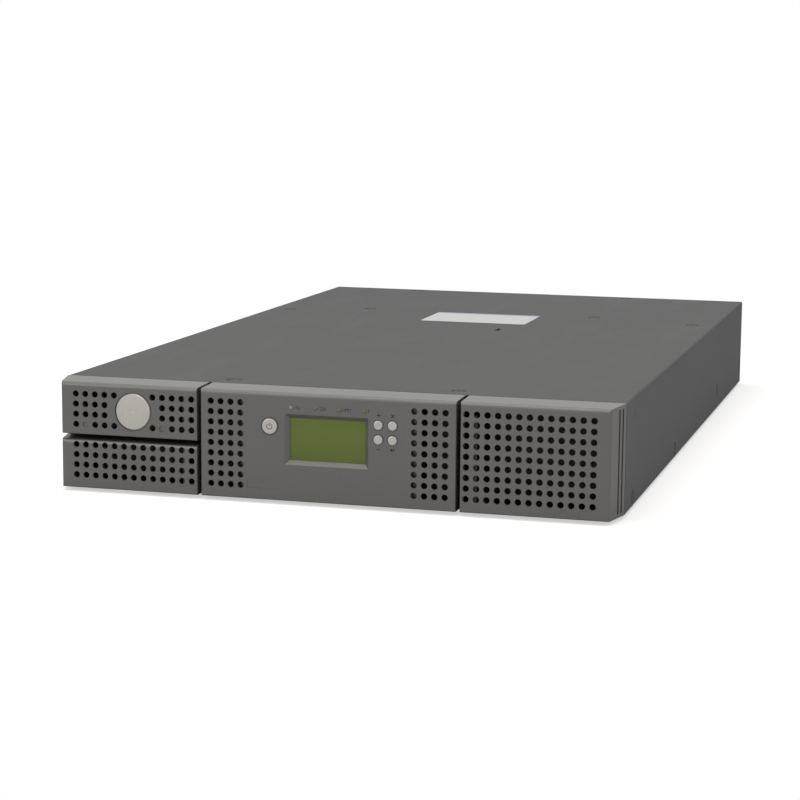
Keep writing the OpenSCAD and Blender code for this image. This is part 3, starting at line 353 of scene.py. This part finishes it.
def silver_paint(name="silver_plastic"):
    """Satin champagne silver on buttons, keys and badge, brushed along the case's height."""
    f = Finish(name)
    lines = f.noise(1500, 2.0, (1, 1, 0.05))
    cloud = f.noise(90, 2.0)
    colour = f.mix(lines * 0.6 + cloud * 0.4, rgb(0.5, 0.475, 0.44), rgb(0.64, 0.61, 0.57))
    return f.shade(colour, 0.3 + 0.1 * lines, 0.35, f.bump(lines, 0.00003, 0.25))


def display_glass(name="display_glass"):
    """Olive display under its window: a fine dot grid, with painted shade that darkens it towards the bottom
    edge.
    """
    f = Finish(name)
    low, high = span("display_window")
    # Painted shade: this ramp darkens the colour from the window's top to its bottom edge; cloud and dot grid
    # add mottle.
    rise = f.ramp(f.axis("Z"), float(low[2]), float(high[2]))
    cloud = f.noise(30, 2.0)
    grid = f.cells(1600)
    painted_shade_and_mottle = rise * 0.7 + cloud * 0.2 + grid * 0.1
    colour = f.mix(painted_shade_and_mottle, rgb(0.085, 0.125, 0.008), rgb(0.15, 0.205, 0.016))
    return f.shade(colour, 0.32 + 0.05 * grid, 0.0, None, Coat_Weight=0.25, Coat_Roughness=0.12)


def tinted_lens(name, dark, light):
    """Tinted clear plastic of a light pipe."""
    f = Finish(name)
    cloud = f.noise(400, 2.0)
    colour = f.mix(cloud, dark, light)
    return f.shade(colour, 0.18 + 0.05 * cloud, 0.0, None, Coat_Weight=0.6, Coat_Roughness=0.08)


def circuit_board(name="circuit_board"):
    """Green solder mask with traces that show through as lighter lines."""
    f = Finish(name)
    x = f.node("ShaderNodeTexWave", {"bands_direction": "X"}, {
        "Vector": f.place, "Scale": 260.0, "Distortion": 6.0, "Detail": 1.0, "Detail Scale": 0.6})
    fine = f.noise(700, 2.0)
    traces = f.ramp(x, 0.6, 0.7)
    colour = f.mix(traces, rgb(0.012, 0.07, 0.028), rgb(0.03, 0.16, 0.06))
    return f.shade(colour, 0.25 + 0.15 * fine, 0.0, f.bump(traces, 0.00003, 0.4), Coat_Weight=0.4)


def paper(name="label_paper"):
    """Coated label paper with a pale blue band along its rear edge."""
    f = Finish(name)
    fibre = f.noise(1400, 4.0, (1, 0.5, 1))
    band = f.axis("Y") > float(label_rear - 7.5 * MM)
    base = f.mix(fibre, rgb(0.7, 0.69, 0.695), rgb(0.78, 0.77, 0.775))
    colour = f.mix(band * 0.85, base, rgb(0.42, 0.47, 0.68))
    return f.shade(colour, 0.42 + 0.12 * fibre, 0.0, f.bump(fibre, 0.00004, 0.4))


def ink(name="printed_ink"):
    """Matt dark printing ink with uneven cover."""
    f = Finish(name)
    patch = f.noise(2500, 2.0)
    return f.shade(f.mix(patch, rgb(0.012, 0.012, 0.012), rgb(0.03, 0.03, 0.03)), 0.5 + 0.1 * patch)


label_low = np.array([-0.0545, span("top_cover")[0][1] + 0.4415])
label_size = np.array([0.103, 0.072])
label_rear = label_low[1] + label_size[1]

FINISHES = {
    "bezel_paint": bezel_paint(),
    "case_paint": case_paint(),
    "inner_steel": inner_paint(),
    "zinc_sheet": zinc(),
    "bright_steel": bright_steel(),
    "motor_shell": motor_steel(),
    "dark_plastic": moulded("dark_plastic", rgb(0.014, 0.014, 0.015), rgb(0.03, 0.03, 0.032)),
    "nylon": moulded("nylon", rgb(0.6, 0.57, 0.48), rgb(0.74, 0.72, 0.64), 0.42),
    "silver_plastic": silver_paint(),
    "display_glass": display_glass(),
    "display_case": moulded("display_case", rgb(0.02, 0.025, 0.015), rgb(0.04, 0.045, 0.03)),
    "amber_lens": tinted_lens("amber_lens", rgb(0.11, 0.09, 0.015), rgb(0.2, 0.16, 0.03)),
    "circuit_board": circuit_board(),
    "yellow_plastic": moulded("yellow_plastic", rgb(0.5, 0.33, 0.02), rgb(0.66, 0.45, 0.04)),
    "rubber": moulded("rubber", rgb(0.012, 0.012, 0.012), rgb(0.025, 0.025, 0.025), 0.8, 900),
}
PRINT = ink()


# Painted shade: these parts get the dark inner_steel finish instead of their own, so the vents and the
# cover's screw dishes look dark.
PAINTED_SHADE_PARTS = {
    "left_magazine_bracket", "right_magazine_bracket", "left_magazine_springs", "right_magazine_springs",
    "cover_screws",
}


def paint_frame():
    """Gives every CAD part the finish of its material slot, and the dark inner_steel finish, as painted
    shade, to the brackets and springs behind the vents and to the cover screws.
    """
    for entry in frame["record"]["subparts"]:
        piece = nodes[entry["node"]]
        piece.data.materials.clear()
        slot = "inner_steel" if entry["node"] in PAINTED_SHADE_PARTS else entry["material_slot"]
        piece.data.materials.append(FINISHES[slot])


paint_frame()


# ---- Printed marks on the controls --------------------------------------------

KEYS = {name: middle("key_" + name) for name in ("plus", "cancel", "minus", "enter")}
LINE = 0.55 * MM


def key_marks():
    """A plus and a cross above the upper keys, a minus and a return arrow below the lower ones."""
    rise = 7.4 * MM
    arm = 1.55 * MM
    slant = arm * 0.8
    y = face_y
    plus = [([(-arm, 0), (arm, 0)], LINE), ([(0, -arm), (0, arm)], LINE)]
    cross = [
        ([(-slant, -slant), (slant, slant)], LINE * 1.2), ([(-slant, slant), (slant, -slant)], LINE * 1.2),
    ]
    minus = [([(-arm, 0), (arm, 0)], LINE)]
    back = [
        ([(-arm * 0.4, 0), (arm, 0)], LINE * 1.3), ([(arm * 0.8, 0), (arm * 0.8, arm * 0.8)], LINE * 1.3),
        ([(-arm * 1.2, 0), (-arm * 0.2, 0)], LINE * 1.6),
        ([(-arm * 1.2, 0), (-arm * 0.1, arm * 0.75)], LINE),
        ([(-arm * 1.2, 0), (-arm * 0.1, -arm * 0.75)], LINE),
    ]
    rows = (("plus", plus, 1), ("cancel", cross, 1), ("minus", minus, -1), ("enter", back, -1))
    for name, strokes, side in rows:
        at = KEYS[name]
        marks("mark_" + name, strokes, (at[0], y, at[2] + side * rise), 0.05 * MM, "chassis", PRINT)


def power_mark():
    """An open ring and a bar: the power symbol, on the power button's face."""
    low, high = span("power_button")
    at = middle("power_button")
    strokes = [(arc(0, 0, 2.1 * MM, 125, 415), 0.5 * MM), ([(0, 0.5 * MM), (0, 2.6 * MM)], 0.5 * MM)]
    marks("power_mark", strokes, (at[0], low[1] + 0.01 * MM, at[2]), 0.05 * MM, "power_key", PRINT)


def light_marks():
    """A small pictogram right of each indicator light: pulse, brush, cartridge and call, call."""
    low, high = span("indicator_lights")
    z = (low[2] + high[2]) / 2
    first = low[0] + 2.5 * MM
    pitch = (high[0] - low[0] - 5 * MM) / 3
    w = 0.42 * MM
    call = lambda x: [([(x, -0.4 * MM), (x, 1.7 * MM)], w * 1.3), ([(x, -1.5 * MM), (x, -0.9 * MM)], w * 1.3)]
    beat = [(3.2, -0.2), (4.6, -0.2), (5.1, 1.6), (5.8, -1.7), (6.3, -0.2), (7.6, -0.2)]
    pulse = [(np.array(beat) * MM, w)]
    brush = [
        (np.array([(3.2, 1.2), (5.4, 1.2), (5.4, -1.4), (3.2, -1.4)]) * MM, w),
        (np.array([(3.6, -0.1), (5.2, -0.1)]) * MM, w),
        (np.array([(6.2, -1.4), (7.2, 1.2)]) * MM, w), (np.array([(7.2, -1.4), (8.2, 1.2)]) * MM, w),
    ]
    tape = [
        (arc(4.0 * MM, 0, 0.8 * MM, 0, 350), w), (arc(6.6 * MM, 0, 0.8 * MM, 0, 350), w),
        (np.array([(4.0, 0.9), (6.6, 0.9)]) * MM, w),
    ]
    for i, strokes in enumerate((pulse, brush, tape + call(8.6 * MM), call(3.4 * MM))):
        marks(f"light_mark_{i + 1}", strokes, (first + i * pitch, face_y, z), 0.04 * MM, "chassis", PRINT)


def lens_caps():
    """Domed ends of the four light pipes: z = sqrt(R^2 - r^2), R a little over the pipe's radius."""
    low, high = span("indicator_lights")
    z = (low[2] + high[2]) / 2
    pitch = (high[0] - low[0] - 5 * MM) / 3
    clear = tinted_lens("clear_lens", rgb(0.2, 0.2, 0.19), rgb(0.34, 0.34, 0.32))
    r = np.linspace(1.42 * MM, 0, 9)
    dome = -(np.sqrt((2.2 * MM) ** 2 - r ** 2) - math.sqrt((2.2 * MM) ** 2 - (1.42 * MM) ** 2))
    radius = np.concatenate([[0.0, 1.42 * MM], r])
    along = np.concatenate([[0.4 * MM, 0.4 * MM], dome])
    for i in range(4):
        at = (low[0] + 2.5 * MM + i * pitch, low[1], z)
        cap = lathe(f"lens_cap_{i + 1}", radius, along, at, steps=28)
        dress(cap, clear if i == 0 else FINISHES["amber_lens"], "chassis")


key_marks()
power_mark()
light_marks()
lens_caps()


# ---- Cover label ---------------------------------------------------------------


def cover_label():
    """Paper label on the cover: a closed rectangular sheet, lifted a hair at one corner.

    Its outline is a plain rectangle; height = t + lift * (u v)^4 over both sides.
    """
    nu, nv = 33, 25
    u = np.linspace(0, 1, nu)[:, None] + np.zeros((1, nv))
    v = np.linspace(0, 1, nv)[None, :] + np.zeros((nu, 1))
    x = label_low[0] + u * label_size[0]
    y = label_low[1] + v * label_size[1]
    lift = 0.12 * MM * (u * v) ** 4
    top = np.stack([x, y, cover_top + 0.12 * MM + lift], -1)
    under = np.stack([x, y, cover_top + 0.005 * MM + lift * 0.9], -1)
    count = nu * nv
    quads = grid_quads(nu, nv).reshape(-1, 4)
    number = np.arange(count).reshape(nu, nv)
    rim = np.concatenate([number[:-1, 0], number[-1, :-1], number[:0:-1, -1], number[0, :0:-1]])
    side = np.stack([rim, np.roll(rim, -1), np.roll(rim, -1) + count, rim + count], 1)
    points = np.concatenate([top.reshape(-1, 3), under.reshape(-1, 3)])
    sheet = new_mesh("cover_label", points, np.concatenate([quads, quads[:, ::-1] + count, side]))
    tidy(sheet)
    sharpen(sheet)
    dress(sheet, paper(), "chassis")


cover_label()


# ---- Stage, lights and camera -----------------------------------------------------


SKY_STRENGTH = 0.3
FLOOR_GLOW = 0.55
FLOOR_FADE = (0.45, 0.95)


def floor():
    """Pale floor with a soft shadow that fades to plain white away from the part.

    For the camera its brightness is lit + FLOOR_GLOW, mixed to 1 over a ring around the part.
    """
    half = 6.0
    corners = np.array([[-half, -half, 0], [half, -half, 0], [half, half, 0], [-half, half, 0]])
    plane = new_mesh("floor", corners, np.array([[0, 1, 2, 3]]), smooth=False)
    f = Finish("floor_paint")
    patch = f.noise(3, 2.0)
    pale = f.mix(patch, rgb(0.86, 0.86, 0.86), rgb(0.9, 0.9, 0.9))
    lit = f.node("ShaderNodeBsdfDiffuse", {}, {"Color": pale})
    glow = f.node("ShaderNodeEmission", {}, {"Strength": FLOOR_GLOW})
    plain = f.node("ShaderNodeEmission", {}, {"Strength": 1.0})
    reach = f.node("ShaderNodeVectorMath", {"operation": "LENGTH"}, {0: f.place}, output="Value")
    near = f.node("ShaderNodeAddShader", {}, {0: lit, 1: glow})
    seen = f.node("ShaderNodeMixShader", {}, {0: f.ramp(reach, *FLOOR_FADE), 1: near, 2: plain})
    path = f.node("ShaderNodeLightPath", output="Is Camera Ray")
    f.node_out(f.node("ShaderNodeMixShader", {}, {0: path, 1: lit, 2: seen}))
    plane.data.materials.append(f.material)


def world():
    """Even pale surroundings, white to the camera and to what metal and glass show."""
    sky = bpy.data.worlds.new("surroundings")
    sky.use_nodes = True
    scene.world = sky
    tree = sky.node_tree
    tree.nodes.clear()
    path = tree.nodes.new("ShaderNodeLightPath")
    soft = tree.nodes.new("ShaderNodeBackground")
    soft.inputs["Color"].default_value = rgb(0.92, 0.95, 1.0)
    soft.inputs["Strength"].default_value = SKY_STRENGTH
    white = tree.nodes.new("ShaderNodeBackground")
    white.inputs["Color"].default_value = rgb(1, 1, 1)
    white.inputs["Strength"].default_value = 1.0
    seen = tree.nodes.new("ShaderNodeMath")
    shown = tree.nodes.new("ShaderNodeMath")
    shown.use_clamp = True
    tree.links.new(path.outputs["Is Camera Ray"], seen.inputs[0])
    tree.links.new(path.outputs["Is Glossy Ray"], seen.inputs[1])
    tree.links.new(seen.outputs[0], shown.inputs[0])
    tree.links.new(path.outputs["Is Transmission Ray"], shown.inputs[1])
    mix = tree.nodes.new("ShaderNodeMixShader")
    out = tree.nodes.new("ShaderNodeOutputWorld")
    for start, end in ((shown, 0), (soft, 1), (white, 2)):
        tree.links.new(start.outputs[0], mix.inputs[end])
    tree.links.new(mix.outputs[0], out.inputs[0])


def lamp(name, at, aim, size, power, colour=(1, 1, 1)):
    """A soft rectangular lamp that faces a point."""
    from mathutils import Vector

    data = bpy.data.lights.new(name, "AREA")
    data.shape = "RECTANGLE"
    data.size, data.size_y = size
    data.energy = power
    data.color = colour
    holder = bpy.data.objects.new(name, data)
    scene.collection.objects.link(holder)
    holder.location = at
    holder.rotation_euler = (Vector(aim) - Vector(at)).to_track_quat("-Z", "Y").to_euler()


def camera():
    """Long lens to the right of the front, a little above, with a hair of roll."""
    from mathutils import Matrix, Vector

    azimuth, elevation, roll = math.radians(15.68), math.radians(9.0), math.radians(0.47)
    distance = 1.5936
    target = Vector((57.63 * MM, face_y + 0.0, bezel_low[2] + 82.57 * MM))
    back = Vector((math.sin(azimuth) * math.cos(elevation), -math.cos(azimuth) * math.cos(elevation),
                   math.sin(elevation)))
    right = Vector((math.cos(azimuth), math.sin(azimuth), 0))
    up = back.cross(right)
    tilted = right * math.cos(roll) + up * math.sin(roll)
    data = bpy.data.cameras.new("camera")
    data.sensor_width = 36
    data.lens = 96.18
    data.clip_end = 50
    eye = bpy.data.objects.new("camera", data)
    scene.collection.objects.link(eye)
    above = back.cross(tilted)
    place = Matrix((tilted, above, back)).transposed().to_4x4()
    place.translation = target + back * distance
    eye.matrix_world = place
    scene.camera = eye


floor()
world()
lamp("overhead", (-0.3, 0.5, 2.6), (0, 0, 0.05), (2.4, 1.8), 15, (1.0, 0.97, 0.93))
lamp("front_left", (-1.9, -2.3, 1.3), (0, -0.2, 0.04), (1.6, 1.2), 15)
lamp("front_right", (2.2, -1.6, 0.9), (0.1, -0.2, 0.04), (1.2, 1.2), 5)
lamp("edge_strip", (0.2, -1.1, 2.3), (0, -0.37, 0.08), (2.6, 0.35), 17, (1.0, 0.93, 0.84))
camera()
scene.view_settings.view_transform = "Standard"
